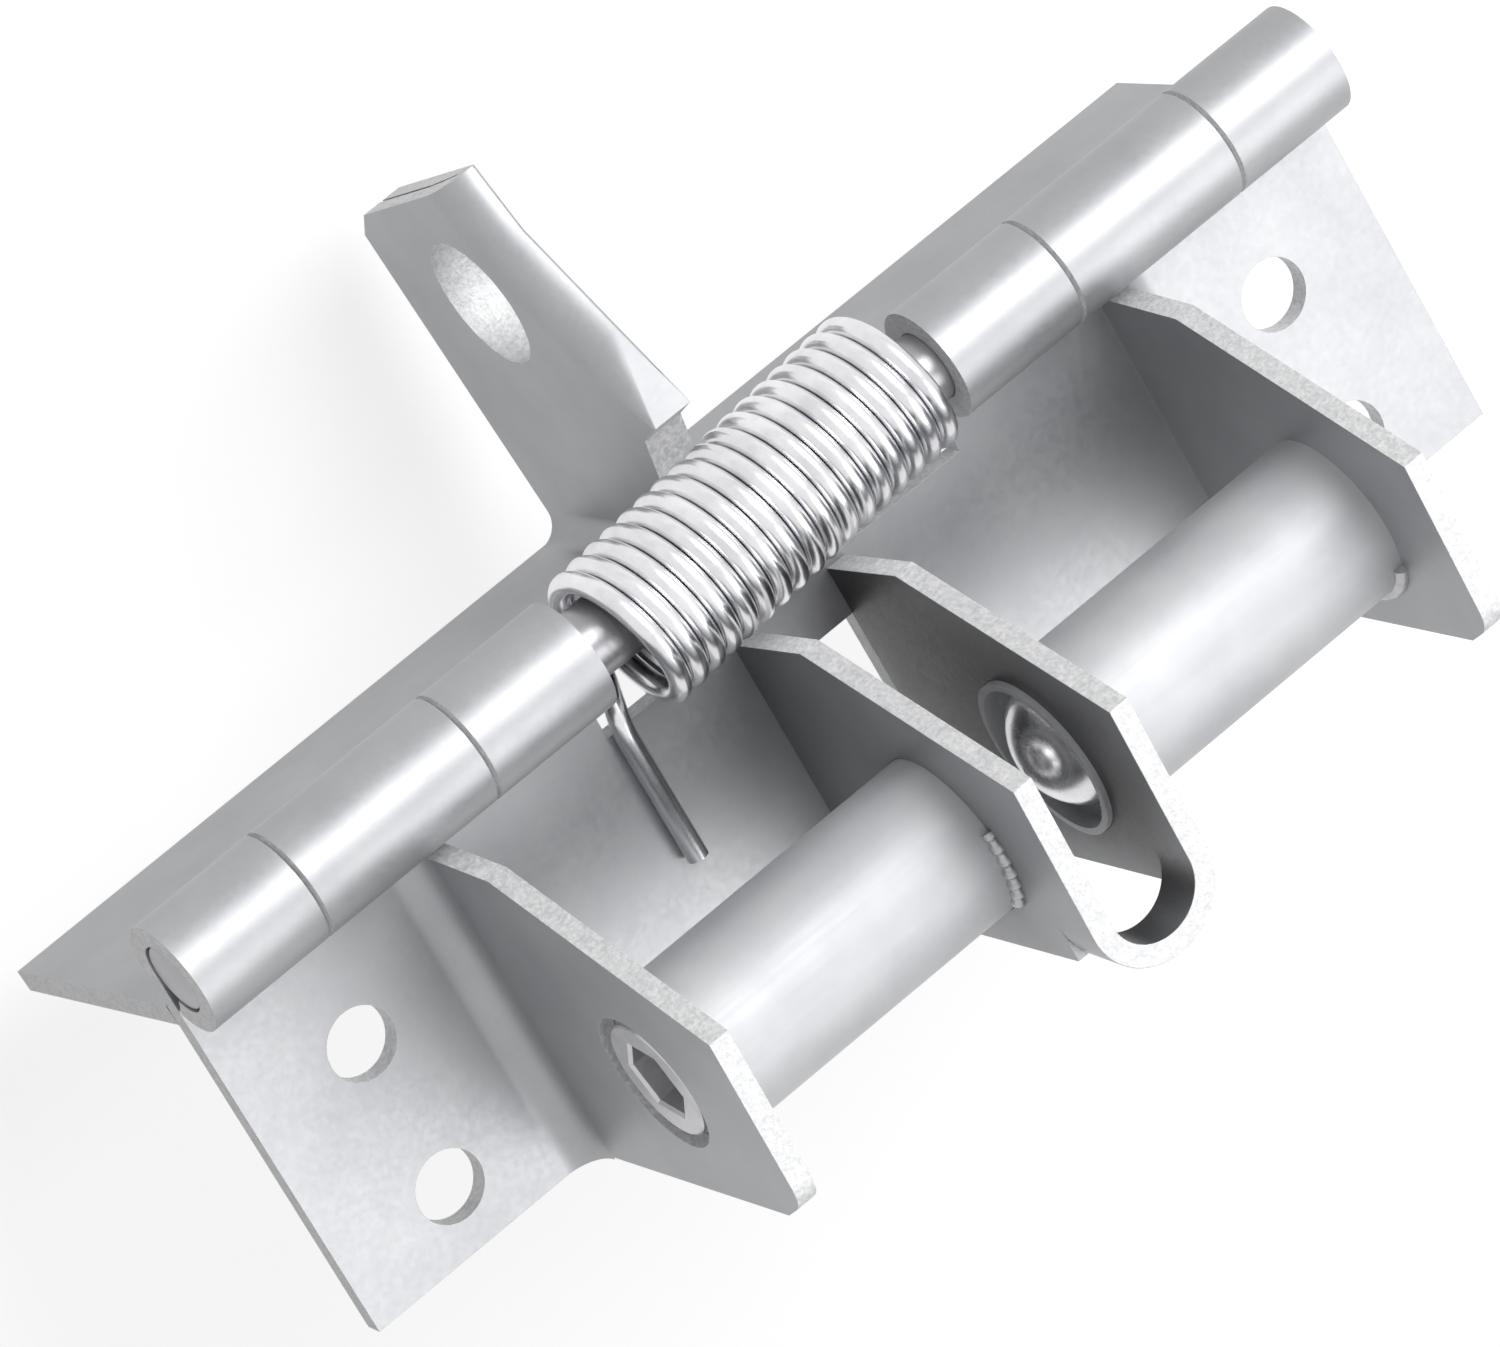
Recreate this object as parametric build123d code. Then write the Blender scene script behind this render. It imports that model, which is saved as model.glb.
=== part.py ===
# Spring loaded door hinge. Millimetres, +Z up, X along the barrel.
# Origin: middle of the base leaf's screw pattern, on its mounting face.
from build123d import *
from math import cos, sin, tan, radians, degrees, atan2, hypot, sqrt
import os

os.makedirs("parts", exist_ok=True)

# sheet and barrel
sheet = 1.6
hinge_length = 101.6
leaf_width = 30.9
pin_d = 5.2
running_gap = 0.06
knuckle_gap = 0.36
spring_bay = 31.8
inner_knuckle = 10.3
middle_knuckle = 14.7
curl_slit_deg = 34.0

# leaf angles, from the base leaf
rest_angle = 82.0
held_angle = 80.0
stop_gap = 0.04

# screw holes
screw_hole_d = 5.2
foot_hole_x = 41.4
foot_hole_near = 13.6
foot_hole_pitch = 12.3
swing_hole_inner = 22.0
swing_hole_outer = 41.4
swing_hole_row = 15.0

# clearance of the leaves round the torsion spring
spring_cut = 7.7

# end flanges and yoke
flange_outer_x = 31.5
flange_bend_r = 2.6
flange_near = 5.2
flange_near_top = 7.5
flange_peak_near = 13.5
flange_peak = 28.7
flange_tip_near = 27.2
flange_tip = 27.9
flange_tip_r = 2.6
flange_side = 28.8
flange_side_top = 24.8
yoke_gap = 6.9
yoke_near = 6.7
yoke_near_foot = 8.2
yoke_near_top = 7.6
yoke_bend_centre = 26.0
strap_low = 23.7
strap_tip = 27.6
strap_relief = 0.1
seat_gap = 0.03
slot_near = 12.0

# tubes, plungers, adjusters
tube_d = 12.4
tube_bore_d = 10.6
tube_out = 20.2
tube_up = 15.2
tube_stand = 0.4
tube_rim_d = 11.3
tube_recess = 1.3
tube_lip = 1.4
nose_d = 9.0
slide_gap = 0.08
dome_height = 2.4
arm_gap = 0.05
shoulder_gap = 0.02
shoulder_length = 4.0
spigot_d = 5.0
spigot_length = 2.5
adjuster_length = 6.8
adjuster_recess = 0.2
adjuster_chamfer = 0.8
hex_across = 5.0
hex_depth = 4.0
ring_chamfer = 0.4
coil_wire = 1.1
coil_mean_r = 4.3
coil_turns = 7.0

# catch arm on the swing leaf, along the leaf and up from the barrel axis
arm_root_bend = 1.8
arm_side = 30.8
arm_side_top = 22.5
arm_stop_gap = 0.2
arm_top_high = 24.0
arm_hole_d = 10.0
crest = [(13.0, 26.6), (11.75, 21.3), (6.6, 13.4)]
crest_foot = (3.0, 7.5)
crest_front_r = 2.7
crest_back_r = 0.3
crest_foot_r = 0.03
arm_under = [(5.9, 6.4), (6.8, 4.6), (7.7, 3.0)]
parting_w = 0.26
parting_d = 0.3
parting_bend = [(0.0, 18.5), (-0.25, 16.2), (-0.6, 14.2)]

# torsion spring
torsion_wire = 1.55
torsion_r = 5.1
torsion_turns = 16
torsion_pitch = 1.6
torsion_lead = 25.0
torsion_tilt = 4.3
torsion_shift = 0.2
lean_deg = 26.6
leg_flat_from = 8.6
base_leg_x = 15.0
base_leg_end = 18.3
swing_leg_x = 14.6
swing_leg_end = 17.0
leg_lift = 0.05

# derived
pin_r = pin_d / 2
bore_r = pin_r + running_gap
barrel_r = bore_r + sheet
face = -bore_r
half = hinge_length / 2
mount_row = foot_hole_near + foot_hole_pitch / 2
axis_pos = Vector(0, -mount_row, barrel_r)
bay = spring_bay / 2
knuckle_1 = bay + inner_knuckle
knuckle_2 = knuckle_1 + middle_knuckle
flange_inner_x = flange_outer_x - sheet
yoke_in = yoke_gap / 2
yoke_out = yoke_in + sheet
tube_r = tube_d / 2
tube_bore_r = tube_bore_d / 2
mouth_x = yoke_in - tube_stand
lip_x = mouth_x + tube_recess
nose_r = nose_d / 2
arm_half = sheet
# the leaf edges meet here when the leaves stand at the rest angle
edge = barrel_r / tan(radians(rest_angle / 2)) + stop_gap
tube_radius = hypot(tube_out, tube_up)
tube_angle = degrees(atan2(tube_up, tube_out))


def on_barrel(shape, angle=0.0):
    # shapes are drawn with the barrel axis as origin, Y along the leaf and Z up, then placed
    return Location(axis_pos) * (Rotation(angle, 0, 0) * shape)


def slab(points, x0, x1):
    # a flat outline in the plane across the barrel, as thick as x0 to x1
    outline = Plane.YZ.offset(x0) * make_face(Polyline(*points, close=True))
    return extrude(outline, x1 - x0)


def block(x0, x1, y0, y1, z0, z1):
    return Pos((x0 + x1) / 2, (y0 + y1) / 2, (z0 + z1) / 2) * Box(x1 - x0, y1 - y0, z1 - z0)


def rod(x0, x1, r, y=0.0, z=0.0):
    bar = Cylinder(r, abs(x1 - x0), rotation=(0, 90, 0))
    return Pos((x0 + x1) / 2, y, z) * bar


def hole_z(x, y, r):
    return Pos(x, y, 0) * Cylinder(r, 4 * barrel_r)


def curl(x0, x1):
    # one knuckle: the sheet runs in flat, then round the pin and almost back to itself
    ring = rod(x0, x1, barrel_r) - rod(x0 - 1, x1 + 1, bore_r)
    reach = 2 * barrel_r
    low = (reach * cos(radians(curl_slit_deg)), -reach * sin(radians(curl_slit_deg)))
    mouth = slab([(0, 0), low, (reach, -reach), (0, -reach)], x0 - 1, x1 + 1)
    strip = block(x0, x1, 0, edge + 1, -barrel_r, face)
    return (ring - mouth) + (strip - rod(x0 - 1, x1 + 1, bore_r)) + lower_quarter(x0, x1)


def lower_quarter(x0, x1):
    # the part of the curl under the pin, between the flat and the bottom of the round
    ring = rod(x0, x1, barrel_r) - rod(x0 - 1, x1 + 1, bore_r)
    return ring & block(x0, x1, -barrel_r, 0, -barrel_r, 0)


def leaf_plate():
    plate = block(-half, half, edge, leaf_width, -barrel_r, face)
    return plate - block(-bay, bay, 0, spring_cut, -2 * barrel_r, 0)


def spans(owner):
    # knuckle spans along X on one side; the base owns the end and inner ones
    g = knuckle_gap / 2
    if owner == "base":
        return [(bay, knuckle_1 - g), (knuckle_2 + g, half)]
    return [(knuckle_1 + g, knuckle_2 - g)]


def both(pairs):
    return [p for x0, x1 in pairs for p in ((x0, x1), (-x1, -x0))]


# base leaf
def flange_outline(near, near_foot, near_top):
    return [
        (near_foot, face),
        (near, near_top),
        (flange_peak_near, flange_peak),
        (flange_tip_near, flange_tip),
        (flange_side, flange_side_top),
        (leaf_width, face),
    ]


def end_flange(side):
    x0, x1 = sorted((side * flange_inner_x, side * flange_outer_x))
    wall = slab(flange_outline(flange_near, flange_near, flange_near_top), x0, x1)
    tip = wall.edges().filter_by(Axis.X).sort_by_distance((side * flange_outer_x, flange_tip_near, flange_tip))[0]
    wall = fillet(tip, flange_tip_r)
    x2 = side * (flange_outer_x + flange_bend_r)
    b0, b1 = sorted((side * flange_outer_x, x2))
    bend = block(b0, b1, flange_near, leaf_width, face, face + flange_bend_r)
    hollow = rod(0, leaf_width * 2, flange_bend_r)
    hollow = Pos(x2, 0, face + flange_bend_r) * (Rotation(0, 0, 90) * hollow)
    wall = wall + (bend - hollow)
    hole = rod(side * (flange_inner_x - 1), side * (flange_outer_x + 1), tube_bore_r, tube_out, tube_up)
    cone = Pos(side * flange_outer_x, tube_out, tube_up) * Cone(
        tube_bore_r - ring_chamfer, tube_bore_r + ring_chamfer, 2 * ring_chamfer, rotation=(0, side * 90, 0)
    )
    return wall - hole - cone


base = leaf_plate()
for x0, x1 in both(spans("base")):
    base = base + curl(x0, x1)
for side in (1, -1):
    base = base + end_flange(side)
base = base - block(-yoke_in, yoke_in, slot_near, leaf_width + 1, -2 * barrel_r, 0)
for x in (-foot_hole_x, foot_hole_x):
    for y in (foot_hole_near, foot_hole_near + foot_hole_pitch):
        base = base - hole_z(x, y, screw_hole_d / 2)

# yoke: two walls like the end flanges, joined by a strap that is bent round at the top of their outer end
wall_pair = slab(flange_outline(yoke_near, yoke_near_foot, yoke_near_top), -yoke_out, yoke_out)
wall_pair = wall_pair - block(-yoke_in, yoke_in, 0, leaf_width + 1, face - 1, flange_peak + 1)
above_relief = (strap_low - strap_relief, flange_peak + 1)
wall_pair = wall_pair - block(-yoke_out - 1, yoke_out + 1, yoke_bend_centre, leaf_width + 1, *above_relief)
bend_top = flange_peak + (flange_tip - flange_peak) * (yoke_bend_centre - flange_peak_near) / (
    flange_tip_near - flange_peak_near
)
strap_end = yoke_bend_centre + yoke_out + 0.1
strap = slab(
    [(yoke_bend_centre, strap_low), (yoke_bend_centre, bend_top), (strap_end, strap_tip), (strap_end, strap_low)],
    -yoke_out - 1,
    yoke_out + 1,
)
bend_axis = Pos(0, yoke_bend_centre, strap_low)
strap = strap & (bend_axis * Cylinder(yoke_out, 4 * sheet + flange_peak))
strap = strap - bend_axis * Cylinder(yoke_in, 6 * sheet + flange_peak)
yoke = wall_pair + strap
yoke = yoke - rod(-yoke_out - 1, yoke_out + 1, tube_r + seat_gap, tube_out, tube_up)


# tube, plunger, coil and adjuster of one side, drawn for +X
def revolved(points):
    profile = Plane.XY * make_face(Polyline(*points, close=True))
    return revolve(profile, Axis.X)


tube = revolved(
    [
        (lip_x, nose_r + slide_gap),
        (lip_x, tube_rim_d / 2),
        (mouth_x, tube_rim_d / 2),
        (mouth_x, tube_r),
        (flange_inner_x, tube_r),
        (flange_inner_x, tube_bore_r),
        (lip_x + tube_lip, tube_bore_r),
        (lip_x + tube_lip, nose_r + slide_gap),
    ]
)

tip_x = arm_half + arm_gap
dome_r = (nose_r**2 + dome_height**2) / (2 * dome_height)
shoulder_x = lip_x + tube_lip + shoulder_gap
shoulder_end = shoulder_x + shoulder_length
shoulder_r = tube_bore_r - slide_gap
dome_mid = dome_r * (1 - cos(radians(26)))
plunger_outline = (
    Polyline(
        (tip_x + dome_height, nose_r),
        (shoulder_x, nose_r),
        (shoulder_x, shoulder_r),
        (shoulder_end, shoulder_r),
        (shoulder_end, spigot_d / 2),
        (shoulder_end + spigot_length, spigot_d / 2),
        (shoulder_end + spigot_length, 0),
        (tip_x, 0),
    )
    + ThreePointArc((tip_x, 0), (tip_x + dome_mid, dome_r * sin(radians(26))), (tip_x + dome_height, nose_r))
)
plunger = revolve(make_face(plunger_outline), Axis.X)

adjuster_out = flange_outer_x - adjuster_recess
adjuster_in = adjuster_out - adjuster_length
adjuster = revolved(
    [
        (adjuster_in, 0),
        (adjuster_in, shoulder_r - adjuster_chamfer),
        (adjuster_in + adjuster_chamfer, shoulder_r),
        (adjuster_out - adjuster_chamfer, shoulder_r),
        (adjuster_out, shoulder_r - adjuster_chamfer),
        (adjuster_out, 0),
    ]
)
socket = Plane.YZ.offset(adjuster_out - hex_depth) * RegularPolygon(hex_across / 2, 6, major_radius=False)
adjuster = adjuster - extrude(socket, hex_depth + 1)

coil_length = adjuster_in - shoulder_end - coil_wire - 2 * shoulder_gap
coil_path = Helix(coil_length / coil_turns, coil_length, coil_mean_r)
coil_start = Plane(origin=coil_path @ 0, z_dir=coil_path % 0)
coil = sweep(coil_start * Circle(coil_wire / 2), path=coil_path, is_frenet=True)
coil = Pos(shoulder_end + shoulder_gap + coil_wire / 2, 0, 0) * (Rotation(0, 90, 0) * coil)

tube_axis = Location((0, tube_out, tube_up))


def side_pieces(shape, side):
    placed = tube_axis * shape
    return placed if side > 0 else mirror(placed, Plane.YZ)


# swing leaf, drawn lying flat like the base leaf and then turned down
swing = leaf_plate()
for x0, x1 in both(spans("swing")):
    swing = swing + curl(x0, x1)
stop_line = yoke_bend_centre + sqrt(yoke_in**2 - arm_half**2) - arm_stop_gap


def from_base(y, z):
    # a point given over the base leaf, as it lies on the swing leaf when held open
    r = hypot(y, z)
    a = radians(held_angle) - atan2(z, y)
    return (r * cos(a), r * sin(a))


top_corner = from_base(stop_line, arm_top_high)
arm_outline = (
    [(arm_side, face - sheet / 2), (arm_side, arm_side_top), top_corner]
    + crest
    + [crest_foot]
    + arm_under
    + [(spring_cut, face - sheet / 2)]
)
arm = slab(arm_outline, -arm_half, arm_half)


def unit(p, q):
    length = hypot(q[0] - p[0], q[1] - p[1])
    return ((q[0] - p[0]) / length, (q[1] - p[1]) / length)


def crest_cutter(side, r_fold, r_foot):
    # what the fold's rounding takes off one face of the arm; it fades out where the layers part at the foot
    points = crest + [crest_foot]
    ways = [unit(p, q) for p, q in zip(points, points[1:])]
    first = (points[0][0] - 2 * ways[0][0], points[0][1] - 2 * ways[0][1])
    last = (points[-1][0] + 0.3 * ways[-1][0], points[-1][1] + 0.3 * ways[-1][1])
    points = [first] + points[1:-1] + [last]
    sections = []
    for i, (p, r) in enumerate(zip(points, [r_fold] * len(crest) + [r_foot])):
        before, after = ways[max(i - 1, 0)], ways[min(i, len(ways) - 1)]
        along = unit((0, 0), (before[0] + after[0], before[1] + after[1]))
        inward = Vector(0, -along[1], along[0])
        at = Vector(0, *p)
        out_x = Vector(side, 0, 0)
        core = at + out_x * (arm_half - r) + inward * r
        flat_end, face_end = core - inward * r, core + out_x * r
        beyond = at - inward + out_x * (arm_half + 1)
        sections.append(
            make_face(
                Polyline(face_end, face_end + out_x, beyond, flat_end - inward, flat_end)
                + ThreePointArc(flat_end, core + (out_x - inward) * (r * sqrt(0.5)), face_end)
            )
        )
    return loft(sections, ruled=True)


arm = arm - crest_cutter(1, crest_front_r, crest_foot_r) - crest_cutter(-1, crest_back_r, crest_foot_r)


def parting(p, q):
    # the fine line between the two layers, cut along one edge of the arm
    length = hypot(q[0] - p[0], q[1] - p[1])
    angle = degrees(atan2(q[1] - p[1], q[0] - p[0]))
    return Pos(0, (p[0] + q[0]) / 2, (p[1] + q[1]) / 2) * (
        Rotation(angle, 0, 0) * Box(parting_w, length, 2 * parting_d)
    )


arm = arm - parting((arm_side, face), (arm_side, arm_side_top)) - parting((arm_side, arm_side_top), top_corner)
# along the top it turns to the back layer where the fold begins
trail = [(0.0, top_corner[0])] + parting_bend
band = [(x - parting_w / 2, p) for x, p in trail] + [(x + parting_w / 2, p) for x, p in reversed(trail)]
under_top = slab(
    [(p, q + dq) for dq, ends in ((1, 1), (-parting_d, -1)) for p, q in (top_corner, crest[0])[::ends]],
    -arm_half,
    arm_half,
)
arm = arm - (extrude(Plane.XY * make_face(Polyline(*band, close=True)), arm_side + 10) & under_top)
arm_hole = from_base(tube_out, tube_up)
arm = arm - rod(-arm_half - 1, arm_half + 1, arm_hole_d / 2, *arm_hole)
for side in (1, -1):
    x2 = side * (arm_half + arm_root_bend)
    b0, b1 = sorted((side * arm_half, x2))
    bend = block(b0, b1, spring_cut, arm_side, face - sheet / 2, face + arm_root_bend)
    hollow = Pos(x2, 0, face + arm_root_bend) * (Rotation(0, 0, 90) * rod(0, leaf_width * 2, arm_root_bend))
    arm = arm + (bend - hollow)
swing = swing + arm
# back of the fold: the two layers turn apart and leave a groove
groove = extrude(
    Plane.XZ.offset(-spring_cut + 1)
    * make_face(Polyline((-sheet, -barrel_r - 0.1), (sheet, -barrel_r - 0.1), (0, -barrel_r + sheet / 2), close=True)),
    -(leaf_width - spring_cut + 2),
)
swing = swing - groove
for x in (swing_hole_inner, swing_hole_outer):
    for side in (1, -1):
        swing = swing - hole_z(side * x, swing_hole_row, screw_hole_d / 2)
# mirror top to bottom so that the arm leads the leaf as it swings over
swing = mirror(swing, Plane.XY)

# pin
pin = rod(-half, half, pin_r)

# torsion spring: close coils, then one leg along each leaf
torsion_wire_r = torsion_wire / 2
leg_height = face + torsion_wire_r + leg_lift


def over_leaf(x, out, up, leaf):
    # a point given along a leaf and up from the barrel axis, on the base or the swing leaf
    if leaf == "base":
        return Vector(x, out, up)
    turn = radians(-rest_angle)
    return Vector(x, out * cos(turn) + up * sin(turn), out * sin(turn) - up * cos(turn))


# the coils start and end where their tangent rises over each leaf's edge
first_deg = 90 - rest_angle - torsion_lead
last_deg = torsion_lead - 90
coils = torsion_turns + ((last_deg - first_deg) % 360) / 360
coil_span = coils * torsion_pitch
torsion_coil = Helix(torsion_pitch, coil_span, torsion_r)
# the loose coils lean on the pin, as in the photograph
lean_axis = Axis((0, 0, 0), (0, -sin(radians(lean_deg)), cos(radians(lean_deg))))
torsion_coil = Pos(-coil_span / 2, 0, 0) * (Rotation(first_deg + 90, 0, 0) * (Rotation(0, 90, 0) * torsion_coil))
torsion_coil = torsion_coil.rotate(lean_axis, torsion_tilt)
torsion_coil = Pos(0, torsion_shift * cos(radians(lean_deg)), torsion_shift * sin(radians(lean_deg))) * torsion_coil


def leg(start, heading, x, end, leaf):
    near = over_leaf(x, leg_flat_from, leg_height, leaf)
    far = over_leaf(x, end, leg_height, leaf)
    along = (far - near).normalized()
    return [Spline(start, near, tangents=[heading, along]), Line(near, far)]


base_leg = leg(torsion_coil @ 1, torsion_coil % 1, base_leg_x, base_leg_end, "base")
swing_leg = leg(torsion_coil @ 0, (torsion_coil % 0) * -1, -swing_leg_x, swing_leg_end, "swing")
torsion_path = Wire([*swing_leg, torsion_coil.edge(), *base_leg])
start = torsion_path @ 0
torsion = sweep(Plane(origin=start, z_dir=torsion_path % 0) * Circle(torsion_wire_r), path=torsion_path)

pieces = {
    "base_leaf": on_barrel(base),
    "yoke": on_barrel(yoke),
    "swing_leaf": on_barrel(swing, -rest_angle),
    "hinge_pin": on_barrel(pin),
    "torsion_spring": on_barrel(torsion),
}
for name, side in (("left", 1), ("right", -1)):
    pieces["tube_" + name] = on_barrel(side_pieces(tube, side))
    pieces["plunger_" + name] = on_barrel(side_pieces(plunger, side))
    pieces["adjuster_" + name] = on_barrel(side_pieces(adjuster, side))
    pieces["coil_" + name] = on_barrel(side_pieces(coil, side))

for name, shape in pieces.items():
    solids = shape.solids()
    print(name, len(solids), round(sum(s.volume for s in solids), 1), shape.bounding_box())
    export_step(shape, "parts/" + name + ".step")
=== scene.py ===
import math

import bmesh
import bpy
from mathutils import Matrix, Vector
from mathutils.bvhtree import BVHTree


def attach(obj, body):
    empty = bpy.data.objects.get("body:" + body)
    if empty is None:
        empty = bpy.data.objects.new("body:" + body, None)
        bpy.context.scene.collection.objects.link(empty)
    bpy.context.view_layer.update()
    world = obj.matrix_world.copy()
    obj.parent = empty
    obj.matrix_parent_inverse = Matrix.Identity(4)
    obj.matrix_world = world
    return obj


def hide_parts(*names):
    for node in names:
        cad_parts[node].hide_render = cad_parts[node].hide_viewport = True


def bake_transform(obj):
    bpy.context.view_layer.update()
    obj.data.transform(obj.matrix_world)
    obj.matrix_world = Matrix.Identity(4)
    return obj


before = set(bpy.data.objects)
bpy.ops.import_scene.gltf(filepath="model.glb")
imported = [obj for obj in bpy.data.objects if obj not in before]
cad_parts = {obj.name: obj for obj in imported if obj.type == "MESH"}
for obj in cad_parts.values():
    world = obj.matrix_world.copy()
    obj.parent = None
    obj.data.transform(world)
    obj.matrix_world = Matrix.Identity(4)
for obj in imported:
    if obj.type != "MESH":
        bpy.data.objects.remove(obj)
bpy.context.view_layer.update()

mm = 0.001

# where the hinge's own lines run, in millimetres
hinge = {"pinY": -19.75, "pinZ": 4.26, "tubeY": 0.45, "tubeZ": 19.46}

# corners nearer than this are one corner, in metres
sameCorner = {"frame": 1e-6, "finished": 2e-7, "drawn": 1e-7}


# helpers for nodes, colours and meshes
def srgb(code):
    # a sRGB hex colour as the linear values that shaders take
    parts = [int(code[i:i + 2], 16) / 255 for i in (0, 2, 4)]
    linear = [c / 12.92 if c <= 0.04045 else ((c + 0.055) / 1.055) ** 2.4 for c in parts]
    return (*linear, 1.0)


def addNode(tree, kind, settings=None, links=None):
    # one shader node: settings are attributes or input values, links name where inputs come from
    node = tree.nodes.new(kind)
    for key, value in (settings or {}).items():
        if key in node.inputs:
            node.inputs[key].default_value = value
        else:
            setattr(node, key, value)
    for key, source in (links or {}).items():
        tree.links.new(source, node.inputs[key])
    return node


def newMaterial(name):
    material = bpy.data.materials.new(name)
    material.use_nodes = True
    material.node_tree.nodes.clear()
    return material


def perMm(size):
    # noise scale for a pattern that repeats every so many millimetres
    return 1 / (size * mm)


# the part of each pattern's range that is used: clouds for colour, grain for roughness, open sky for the
# painted shade in nooks
span = {"cloud": (0.35, 0.65), "grain": (0.3, 0.7), "openSky": (0.25, 0.85)}
# what a metal looks like unless it says otherwise
usualMetal = {"stretch": (1, 1, 1), "speckle": 0.3, "reliefStrength": 0.2, "reliefMm": 0.02}


def paintShadeInNooks(tree, colour, look):
    # painted shade: the colour is darkened where little open sky reaches, in the nooks and between walls
    openSky = addNode(tree, "ShaderNodeAmbientOcclusion", {"Distance": look["shadeReachMm"] * mm, "samples": 8})
    darker = addNode(tree, "ShaderNodeMapRange", {"From Min": span["openSky"][0], "From Max": span["openSky"][1],
                                                "To Min": look["paintedShadeTone"]}, {"Value": openSky.outputs["AO"]})
    return addNode(tree, "ShaderNodeVectorMath", {"operation": "SCALE"},
                   {"Vector": colour, "Scale": darker.outputs["Result"]}).outputs["Vector"]


def metalMaterial(name, look):
    # a worked metal: cloudy colour, grain in its roughness and a shallow relief
    look = {**usualMetal, **look}
    material = newMaterial(name)
    tree = material.node_tree
    where = addNode(tree, "ShaderNodeTexCoord").outputs["Object"]
    stretched = addNode(tree, "ShaderNodeMapping", {"Scale": look["stretch"]}, {"Vector": where})
    cloud = addNode(tree, "ShaderNodeTexNoise",
                    {"Scale": perMm(look["cloudMm"]), "Detail": 4, "Roughness": 0.6}, {"Vector": where})
    grain = addNode(tree, "ShaderNodeTexNoise",
                    {"Scale": perMm(look["grainMm"]), "Detail": 3, "Roughness": 0.55},
                    {"Vector": stretched.outputs["Vector"]})
    mottle = addNode(tree, "ShaderNodeMix", {"data_type": "FLOAT", "Factor": look["speckle"]},
                     {"A": cloud.outputs["Fac"], "B": grain.outputs["Fac"]})
    tone = addNode(tree, "ShaderNodeValToRGB", None, {"Fac": mottle.outputs["Result"]})
    for stop, position, code in zip(tone.color_ramp.elements, span["cloud"], (look["dark"], look["light"])):
        stop.position = position
        stop.color = srgb(code)
    colour = tone.outputs["Color"]
    # painted shade in nooks, for the materials that ask for it
    if "paintedShadeTone" in look:
        colour = paintShadeInNooks(tree, colour, look)
    rough = addNode(tree, "ShaderNodeMapRange",
                    {"From Min": span["grain"][0], "From Max": span["grain"][1],
                     "To Min": look["rough"][0], "To Max": look["rough"][1]}, {"Value": grain.outputs["Fac"]})
    relief = addNode(tree, "ShaderNodeBump",
                     {"Strength": look["reliefStrength"], "Distance": look["reliefMm"] * mm},
                     {"Height": grain.outputs["Fac"]})
    body = addNode(tree, "ShaderNodeBsdfPrincipled", {"Metallic": look["metallic"]},
                   {"Base Color": colour, "Roughness": rough.outputs["Result"],
                    "Normal": relief.outputs["Normal"]})
    addNode(tree, "ShaderNodeOutputMaterial", None, {"Surface": body.outputs["BSDF"]})
    return material


sheetLook = {"dark": "ACADB0", "light": "B8B9BB", "metallic": 0.75, "rough": (0.42, 0.5),
             "cloudMm": 9.0, "grainMm": 0.45}
# zinc plated mild steel sheet, pressed: satin and faintly cloudy, with a fine rolled grain
zincSheet = metalMaterial("zincPlatedPressedSteel", sheetLook)
# the same sheet folded into the yoke, with painted shade that darkens its colour in the nooks between its
# walls
yokeSheet = metalMaterial("zincPlatedFoldedSteel", {**sheetLook, "shadeReachMm": 18, "paintedShadeTone": 0.2})
# the same sheet where it was sheared: torn, bright and rough
shearedEdge = metalMaterial("zincPlatedShearedEdge", {
    "dark": "E0E1E3", "light": "FFFFFF", "metallic": 0.35, "rough": (0.5, 0.75),
    "cloudMm": 0.6, "grainMm": 0.3, "speckle": 0.5, "reliefStrength": 0.8, "reliefMm": 0.1})
# drawn steel tube, zinc plated: brighter and more matt, with faint lines along the draw
drawnTube = metalMaterial("zincPlatedDrawnTube", {
    "dark": "BBBCBF", "light": "C5C6C8", "metallic": 0.85, "rough": (0.6, 0.66), "cloudMm": 7.0,
    "grainMm": 0.5, "stretch": (0.05, 1, 1), "speckle": 0.1, "reliefStrength": 0.05, "reliefMm": 0.01})
# turned steel pin: fine rings round its axis
turnedPin = metalMaterial("turnedSteelPin", {
    "dark": "A9A9AC", "light": "B9B9BC", "metallic": 0.6, "rough": (0.28, 0.38),
    "cloudMm": 4.0, "grainMm": 0.3, "stretch": (1, 0.1, 0.1)})
# polished steel nose, worn bright by the arm
polishedNose = metalMaterial("polishedSteelNose", {
    "dark": "E2E2E4", "light": "F6F6F8", "metallic": 0.85, "rough": (0.2, 0.3), "cloudMm": 2.5,
    "grainMm": 0.25, "stretch": (1, 0.2, 0.2), "reliefStrength": 0.15, "reliefMm": 0.015})
# set screw steel, zinc plated over a rolled thread
screwSteel = metalMaterial("zincPlatedSetScrewSteel", {
    "dark": "CACACD", "light": "DCDCDE", "metallic": 0.8, "rough": (0.32, 0.44),
    "cloudMm": 2.0, "grainMm": 0.25})
# drawn spring wire: bright and smooth, with only a faint grain
springWire = metalMaterial("drawnSpringWire", {
    "dark": "DADADD", "light": "ECECEE", "metallic": 1.0, "rough": (0.2, 0.26), "cloudMm": 3.0,
    "grainMm": 0.3, "speckle": 0.1, "reliefStrength": 0.05, "reliefMm": 0.01})
# a weld run under the plating: uneven in colour and in surface
weldMetal = metalMaterial("zincPlatedWeldRun", {
    "dark": "BCBDBF", "light": "DCDCDE", "metallic": 0.6, "rough": (0.3, 0.45), "cloudMm": 1.0,
    "grainMm": 0.3, "reliefStrength": 0.4, "reliefMm": 0.05})
print("materials made")


def openEdges(bm):
    return [edge for edge in bm.edges if edge.is_boundary]


def turn(bm, degrees, axis):
    bmesh.ops.rotate(bm, verts=bm.verts, matrix=Matrix.Rotation(math.radians(degrees), 3, axis))


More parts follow.
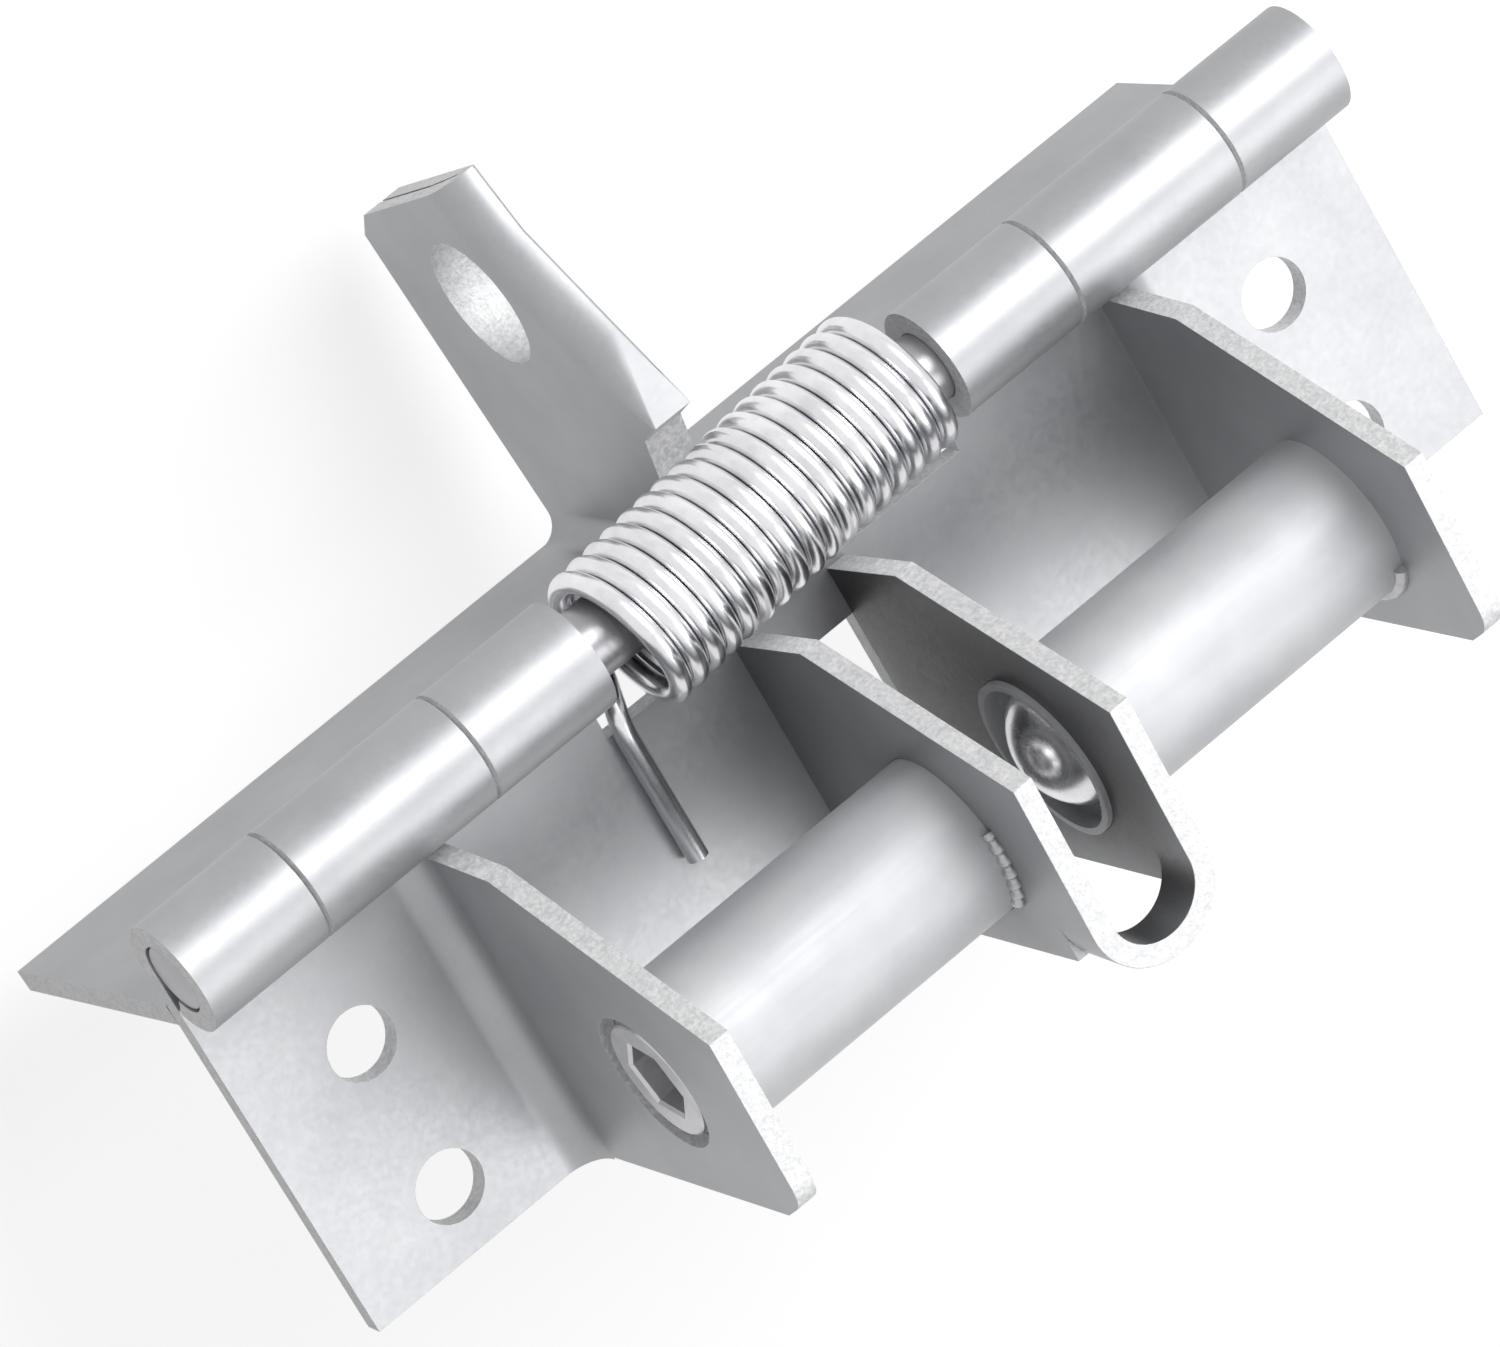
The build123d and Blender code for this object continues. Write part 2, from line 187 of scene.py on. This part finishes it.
def finishMesh(bm, name, material, sharpDeg=32):
    # the mesh becomes an object at the origin, smooth but for its real corners
    bmesh.ops.remove_doubles(bm, verts=bm.verts, dist=sameCorner["finished"])
    for face in bm.faces:
        face.smooth = True
    for edge in bm.edges:
        if len(edge.link_faces) == 2:
            edge.smooth = edge.calc_face_angle(0) < math.radians(sharpDeg)
    mesh = bpy.data.meshes.new(name)
    bm.to_mesh(mesh)
    bm.free()
    mesh.materials.append(material)
    piece = bpy.data.objects.new(name, mesh)
    bpy.context.scene.collection.objects.link(piece)
    return piece


def softened(piece, widthMm, cornerDeg=30):
    # real corners get a small round, and the large faces beside them stay evenly shaded
    soft = piece.modifiers.new("softEdges", "BEVEL")
    soft.width = widthMm * mm
    soft.segments = 2
    soft.limit_method = "ANGLE"
    soft.angle_limit = math.radians(cornerDeg)
    even = piece.modifiers.new("evenShading", "WEIGHTED_NORMAL")
    even.weight = 100
    even.keep_sharp = True


def mergedCopy(node):
    # the frame's mesh as one closed skin: its own is loose triangles
    bm = bmesh.new()
    bm.from_mesh(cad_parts[node].data)
    bmesh.ops.remove_doubles(bm, verts=bm.verts, dist=sameCorner["frame"])
    return bm


def joinFlats(bm, flatDeg=0.3):
    # the triangles of each flat face become one face, so that its shading stays even
    bmesh.ops.dissolve_limit(bm, angle_limit=math.radians(flatDeg), verts=bm.verts, edges=bm.edges,
                             use_dissolve_boundaries=False)


def smoothPatches(bm, bendDeg=25):
    # groups of faces that run into each other without a corner
    limit = math.radians(bendDeg)
    waiting = set(bm.faces)
    while waiting:
        patch, edgeOfPatch = [], [waiting.pop()]
        while edgeOfPatch:
            face = edgeOfPatch.pop()
            patch.append(face)
            for edge in face.edges:
                if len(edge.link_faces) == 2 and edge.calc_face_angle(0) < limit:
                    for other in edge.link_faces:
                        if other in waiting:
                            waiting.remove(other)
                            edgeOfPatch.append(other)
        yield patch


def markShearedFaces(bm, thickestMm, startMm=0.02):
    # a patch that mostly has the other side of its sheet close behind it was rolled; any other was sheared
    skin = BVHTree.FromBMesh(bm)
    for patch in smoothPatches(bm):
        thin = thick = 0
        for face in patch:
            inward = -face.normal
            depth = skin.ray_cast(face.calc_center_median() + inward * startMm * mm, inward)[3]
            if depth and depth / mm > thickestMm:
                thick += face.calc_area()
            else:
                thin += face.calc_area()
        for face in patch:
            face.material_index = 1 if thick > thin else 0


def pressedSheet(sheet):
    # one pressed sheet: satin faces, bright sheared edges, and the soft corners that the press leaves
    bm = mergedCopy(sheet["node"])
    markShearedFaces(bm, sheet["thickestMm"])
    joinFlats(bm)
    piece = finishMesh(bm, sheet["name"], sheet["metal"])
    piece.data.materials.append(shearedEdge)
    softened(piece, sheet["softMm"])
    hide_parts(sheet["node"])
    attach(piece, sheet["body"])


pressedSheet({"name": "baseLeafPressing", "node": "base_leaf", "body": "base", "metal": zincSheet,
              "thickestMm": 2.6, "softMm": 0.2})
pressedSheet({"name": "foldedYoke", "node": "yoke", "body": "base", "metal": yokeSheet,
              "thickestMm": 2.6, "softMm": 0.06})
pressedSheet({"name": "swingLeafPressing", "node": "swing_leaf", "body": "swing", "metal": zincSheet,
              "thickestMm": 3.4, "softMm": 0.12})
print("pressed sheets dressed")

# where the springs end along the barrel's direction, in millimetres
torsionEnds = {"base": 13.5, "swing": -12.8}
coilEnds = (9.79, 24.48)


def woundSpring():
    # the torsion spring's wire: its left leg rests on the base and its right leg on the turning leaf; the
    # points at its two ends are worked out but not used
    piece = finishMesh(mergedCopy("torsion_spring"), "torsionSpringWire", springWire, sharpDeg=60)
    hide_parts("torsion_spring")
    still, turning = ((torsionEnds[body] * mm, hinge["pinY"] * mm, 0) for body in ("base", "swing"))
    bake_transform(piece)
    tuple(still)
    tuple(turning)


def pressedSpring(side, sign):
    # one compression coil cut in two halves, the inner one at the plunger and the outer one at the adjuster;
    # the points where each would be squeezed are worked out but not used
    middle = sum(coilEnds) / 2
    for half, body, end in (("Inner", "plunger_", coilEnds[0]), ("Outer", "coil_", coilEnds[1])):
        bm = mergedCopy("coil_" + side)
        bmesh.ops.bisect_plane(bm, geom=list(bm.verts) + list(bm.edges) + list(bm.faces),
                               dist=sameCorner["drawn"], clear_inner=True,
                               plane_co=(sign * middle * mm, 0, 0), plane_no=(sign * (end - middle), 0, 0))
        bmesh.ops.holes_fill(bm, edges=openEdges(bm))
        piece = finishMesh(bm, "plungerSpring" + half + "_" + side, springWire, sharpDeg=60)
        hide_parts("coil_" + side)
        squeezed, still = ((sign * x * mm, hinge["tubeY"] * mm, hinge["tubeZ"] * mm) for x in (end, middle))
        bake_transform(piece)
        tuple(squeezed)
        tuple(still)


woundSpring()
for side, sign in (("left", 1), ("right", -1)):
    pressedSpring(side, sign)
print("springs wound")


def cutPin(pin):
    # the pin stops just short of the knuckles, with the round edge of a cut and tumbled bar
    bm = bmesh.new()
    bmesh.ops.create_cone(bm, cap_ends=True, segments=pin["sides"], radius1=pin["radius"] * mm,
                          radius2=pin["radius"] * mm, depth=(pin["length"] - 2 * pin["shyMm"]) * mm)
    rims = [edge for edge in bm.edges if edge.calc_face_angle(0) > math.radians(pin["cornerDeg"])]
    bmesh.ops.bevel(bm, geom=rims, offset=pin["roundMm"] * mm, segments=4, profile=0.5, affect="EDGES",
                    material=-1)
    turn(bm, 90, "Y")
    bmesh.ops.translate(bm, verts=bm.verts, vec=(0, hinge["pinY"] * mm, hinge["pinZ"] * mm))
    piece = finishMesh(bm, "hingePinBar", turnedPin)
    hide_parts("hinge_pin")
    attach(piece, "base")


cutPin({"radius": 2.6, "length": 101.6, "sides": 64, "shyMm": 0.08, "roundMm": 0.3, "cornerDeg": 45})


def weldBead(weld):
    # a short bead laid round a tube where it meets a wall: a half-round run, lumpy along its length
    bm = bmesh.new()
    bmesh.ops.create_circle(bm, cap_ends=False, segments=12, radius=weld["legMm"] * mm)
    profile = list(bm.verts) + list(bm.edges)
    turn(bm, 90, "X")
    bmesh.ops.translate(bm, verts=bm.verts, vec=(weld["x"] * mm, 0, (weld["tubeR"] + weld["liftMm"]) * mm))
    turn(bm, weld["fromDeg"], "X")
    bmesh.ops.spin(bm, geom=profile, cent=(0, 0, 0), axis=(1, 0, 0), angle=math.radians(weld["runDeg"]),
                   steps=weld["steps"], use_merge=False)
    bmesh.ops.holes_fill(bm, edges=openEdges(bm))
    for vert in bm.verts:
        along = math.atan2(vert.co.z, vert.co.y)
        lump = 1 + weld["lump"] * math.sin(along * weld["lumps"])
        core = Vector((weld["x"], math.cos(along) * weld["tubeR"], math.sin(along) * weld["tubeR"])) * mm
        vert.co = core + (vert.co - core) * lump
    bmesh.ops.translate(bm, verts=bm.verts, vec=(0, hinge["tubeY"] * mm, hinge["tubeZ"] * mm))
    bmesh.ops.recalc_face_normals(bm, faces=bm.faces)
    piece = finishMesh(bm, weld["name"], weldMetal, sharpDeg=50)
    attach(piece, "base")


for side, sign in (("left", 1), ("right", -1)):
    weldBead({"name": "yokeTack_" + side, "x": sign * 5.15, "tubeR": 6.2, "liftMm": 0.15, "legMm": 0.5,
              "fromDeg": -42, "runDeg": 58, "steps": 96, "lump": 0.22, "lumps": 39})
    weldBead({"name": "flangeWeld_" + side, "x": sign * 29.75, "tubeR": 6.2, "liftMm": 0.0, "legMm": 0.62,
              "fromDeg": -150, "runDeg": 120, "steps": 40, "lump": 0.03, "lumps": 19})


def screwOutline(screw):
    # half of the screw's outline, from its rim to its point, as pairs of depth and radius
    rimR = screw["faceR"]
    outline = [(0, rimR), (screw["rimMm"], rimR + screw["rimMm"]),
               (screw["grooveMm"], rimR + screw["flareMm"])]
    along = screw["grooveMm"] + screw["shoulderMm"]
    while along < screw["length"] - screw["pointMm"]:
        outline += [(along, screw["radius"]),
                    (along + screw["pitchMm"] / 2, screw["radius"] - screw["threadMm"])]
        along += screw["pitchMm"]
    return outline + [(screw["length"], screw["radius"] - screw["pointMm"]), (screw["length"], 0)]


def sinkHexagon(bm, screw):
    # from the rim inwards: the flat end round the hexagon, its countersunk mouth, then its six walls
    sixth = math.radians(60)
    flats = screw["acrossMm"]
    for across, drop in ((flats + 2 * screw["lipMm"], 0), (flats, screw["lipMm"]), (flats, screw["depthMm"])):
        ring = bmesh.ops.extrude_edge_only(bm, edges=openEdges(bm))
        deeper = [v for v in ring["geom"] if isinstance(v, bmesh.types.BMVert)]
        for vert in deeper:
            offCentre = math.atan2(vert.co.y, vert.co.x) % sixth - sixth / 2
            vert.co.xy = vert.co.xy.normalized() * across / 2 * mm / math.cos(offCentre)
        bmesh.ops.translate(bm, verts=deeper, vec=(0, 0, -drop * mm))
    bmesh.ops.holes_fill(bm, edges=openEdges(bm))


def setScrew(screw, side, sign):
    # a socket set screw: a grooved end, thread rings, a coned point and a hexagon pressed into the outer end
    bm = bmesh.new()
    corners = [bm.verts.new((r * mm, 0, -x * mm)) for x, r in screwOutline(screw)]
    lines = [bm.edges.new(pair) for pair in zip(corners, corners[1:])]
    bmesh.ops.spin(bm, geom=corners + lines, cent=(0, 0, 0), axis=(0, 0, 1), angle=2 * math.pi,
                   steps=screw["sides"], use_merge=True)
    bmesh.ops.remove_doubles(bm, verts=bm.verts, dist=sameCorner["drawn"])
    sinkHexagon(bm, screw)
    bmesh.ops.recalc_face_normals(bm, faces=bm.faces)
    turn(bm, screw["turnDeg"], "Z")
    turn(bm, 90 * sign, "Y")
    bmesh.ops.translate(bm, verts=bm.verts,
                        vec=(sign * screw["outerX"] * mm, hinge["tubeY"] * mm, hinge["tubeZ"] * mm))
    piece = finishMesh(bm, "socketSetScrew_" + side, screwSteel, sharpDeg=20)
    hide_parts("adjuster_" + side)
    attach(piece, "adjuster_" + side)


# sides is a multiple of six, so that a corner of the outline falls on each corner of the hexagon
setScrewSizes = {"radius": 5.2, "length": 6.8, "outerX": 31.3, "faceR": 4.35, "rimMm": 0.12, "flareMm": 0.25,
                 "grooveMm": 0.9, "shoulderMm": 0.2, "pointMm": 0.8, "pitchMm": 1.0, "threadMm": 0.25,
                 "acrossMm": 5.0, "depthMm": 3.0, "lipMm": 0.22, "turnDeg": 50, "sides": 96}
for side, sign in (("left", 1), ("right", -1)):
    setScrew(setScrewSizes, side, sign)
print("pin, welds and set screws made")

for node, material in (("tube_left", drawnTube), ("tube_right", drawnTube),
                       ("plunger_left", polishedNose), ("plunger_right", polishedNose)):
    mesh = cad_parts[node].data
    mesh.materials.clear()
    mesh.materials.append(material)
print("frame finished")

# floor, lights and camera
stage = {"floorZ": -34.2, "floorSize": 4.0, "bounceColour": "707070", "seenColour": "A0A0A0",
         "floorGlow": 0.78, "worldLight": 0.12}
# both lamps face the origin; spots and sizes are in metres
lamps = {
    "keyLamp": {"spot": (-0.36, -0.47, 0.68), "size": 0.6, "watts": 5.4},
    "panelLamp": {"spot": (-0.32, 0.42, 0.8), "size": 0.7, "watts": 3.1},
}
# the camera stands where the photograph was taken from: its right and up directions in the part's frame, then
# how far it stands back from the pin, to the side and up in millimetres, and its clipping in metres
view = {
    "right": (-0.7356, 0.4592, 0.4980),
    "up": (-0.6027, -0.7792, -0.1718),
    "distance": 744.28,
    "sideways": 0.108,
    "upwards": 10.844,
    "focalPixels": 11292.7,
    "imageWidth": 1500,
    "sensorMm": 36,
    "nearest": 0.01,
    "farthest": 10,
}


def showingRay(tree):
    # 1 for rays that show a thing to the camera, straight, mirrored or through glass, and 0 for all others
    path = addNode(tree, "ShaderNodeLightPath")
    shows = path.outputs["Is Camera Ray"]
    for kind in ("Is Glossy Ray", "Is Transmission Ray"):
        shows = addNode(tree, "ShaderNodeMath", {"operation": "MAXIMUM"},
                        {0: shows, 1: path.outputs[kind]}).outputs[0]
    return shows


def paleGround():
    # it looks white, but throws back less light than it seems to, so that the part's undersides stay dark
    bm = bmesh.new()
    bmesh.ops.create_grid(bm, x_segments=1, y_segments=1, size=stage["floorSize"] / 2)
    bmesh.ops.translate(bm, verts=bm.verts, vec=(0, 0, stage["floorZ"] * mm))
    material = newMaterial("paleFloor")
    tree = material.node_tree
    darker = addNode(tree, "ShaderNodeBsdfDiffuse", {"Color": srgb(stage["bounceColour"])})
    paper = addNode(tree, "ShaderNodeBsdfDiffuse", {"Color": srgb(stage["seenColour"])})
    white = addNode(tree, "ShaderNodeEmission", {"Color": (1, 1, 1, 1), "Strength": stage["floorGlow"]})
    both = addNode(tree, "ShaderNodeAddShader", None, {0: paper.outputs[0], 1: white.outputs[0]})
    mix = addNode(tree, "ShaderNodeMixShader", None,
                  {0: showingRay(tree), 1: darker.outputs[0], 2: both.outputs[0]})
    addNode(tree, "ShaderNodeOutputMaterial", None, {"Surface": mix.outputs[0]})
    finishMesh(bm, "floor", material)


def softLamp(name, lamp):
    data = bpy.data.lights.new(name, "AREA")
    data.shape = "DISK"
    data.size = lamp["size"]
    data.energy = lamp["watts"]
    light = bpy.data.objects.new(name, data)
    light.location = lamp["spot"]
    light.rotation_euler = (-Vector(lamp["spot"])).to_track_quat("-Z", "Y").to_euler()
    bpy.context.scene.collection.objects.link(light)


def paleRoom():
    world = bpy.data.worlds.new("paleRoom")
    bpy.context.scene.world = world
    world.use_nodes = True
    tree = world.node_tree
    tree.nodes.clear()
    level = addNode(tree, "ShaderNodeMapRange", {"To Min": stage["worldLight"], "To Max": 1.0},
                    {"Value": showingRay(tree)})
    sky = addNode(tree, "ShaderNodeBackground", {"Color": (1, 1, 1, 1)},
                  {"Strength": level.outputs["Result"]})
    addNode(tree, "ShaderNodeOutputWorld", None, {"Surface": sky.outputs[0]})
    bpy.context.scene.view_settings.view_transform = "Standard"


def photoCamera():
    right, up = (Vector(view[key]).normalized() for key in ("right", "up"))
    up = (up - up.dot(right) * right).normalized()
    back = right.cross(up)
    centre = Vector((0, hinge["pinY"], hinge["pinZ"]))
    spot = centre - right * view["sideways"] - up * view["upwards"] + back * view["distance"]
    lens = bpy.data.cameras.new("photoCamera")
    lens.sensor_width = view["sensorMm"]
    lens.sensor_fit = "HORIZONTAL"
    lens.lens = view["sensorMm"] * view["focalPixels"] / view["imageWidth"]
    lens.clip_start = view["nearest"]
    lens.clip_end = view["farthest"]
    camera = bpy.data.objects.new("photoCamera", lens)
    camera.matrix_world = Matrix.Translation(spot * mm) @ Matrix((right, up, back)).transposed().to_4x4()
    bpy.context.scene.collection.objects.link(camera)
    bpy.context.scene.camera = camera


paleGround()
for name, lamp in lamps.items():
    softLamp(name, lamp)
paleRoom()
photoCamera()
print("floor, lamps and camera set")
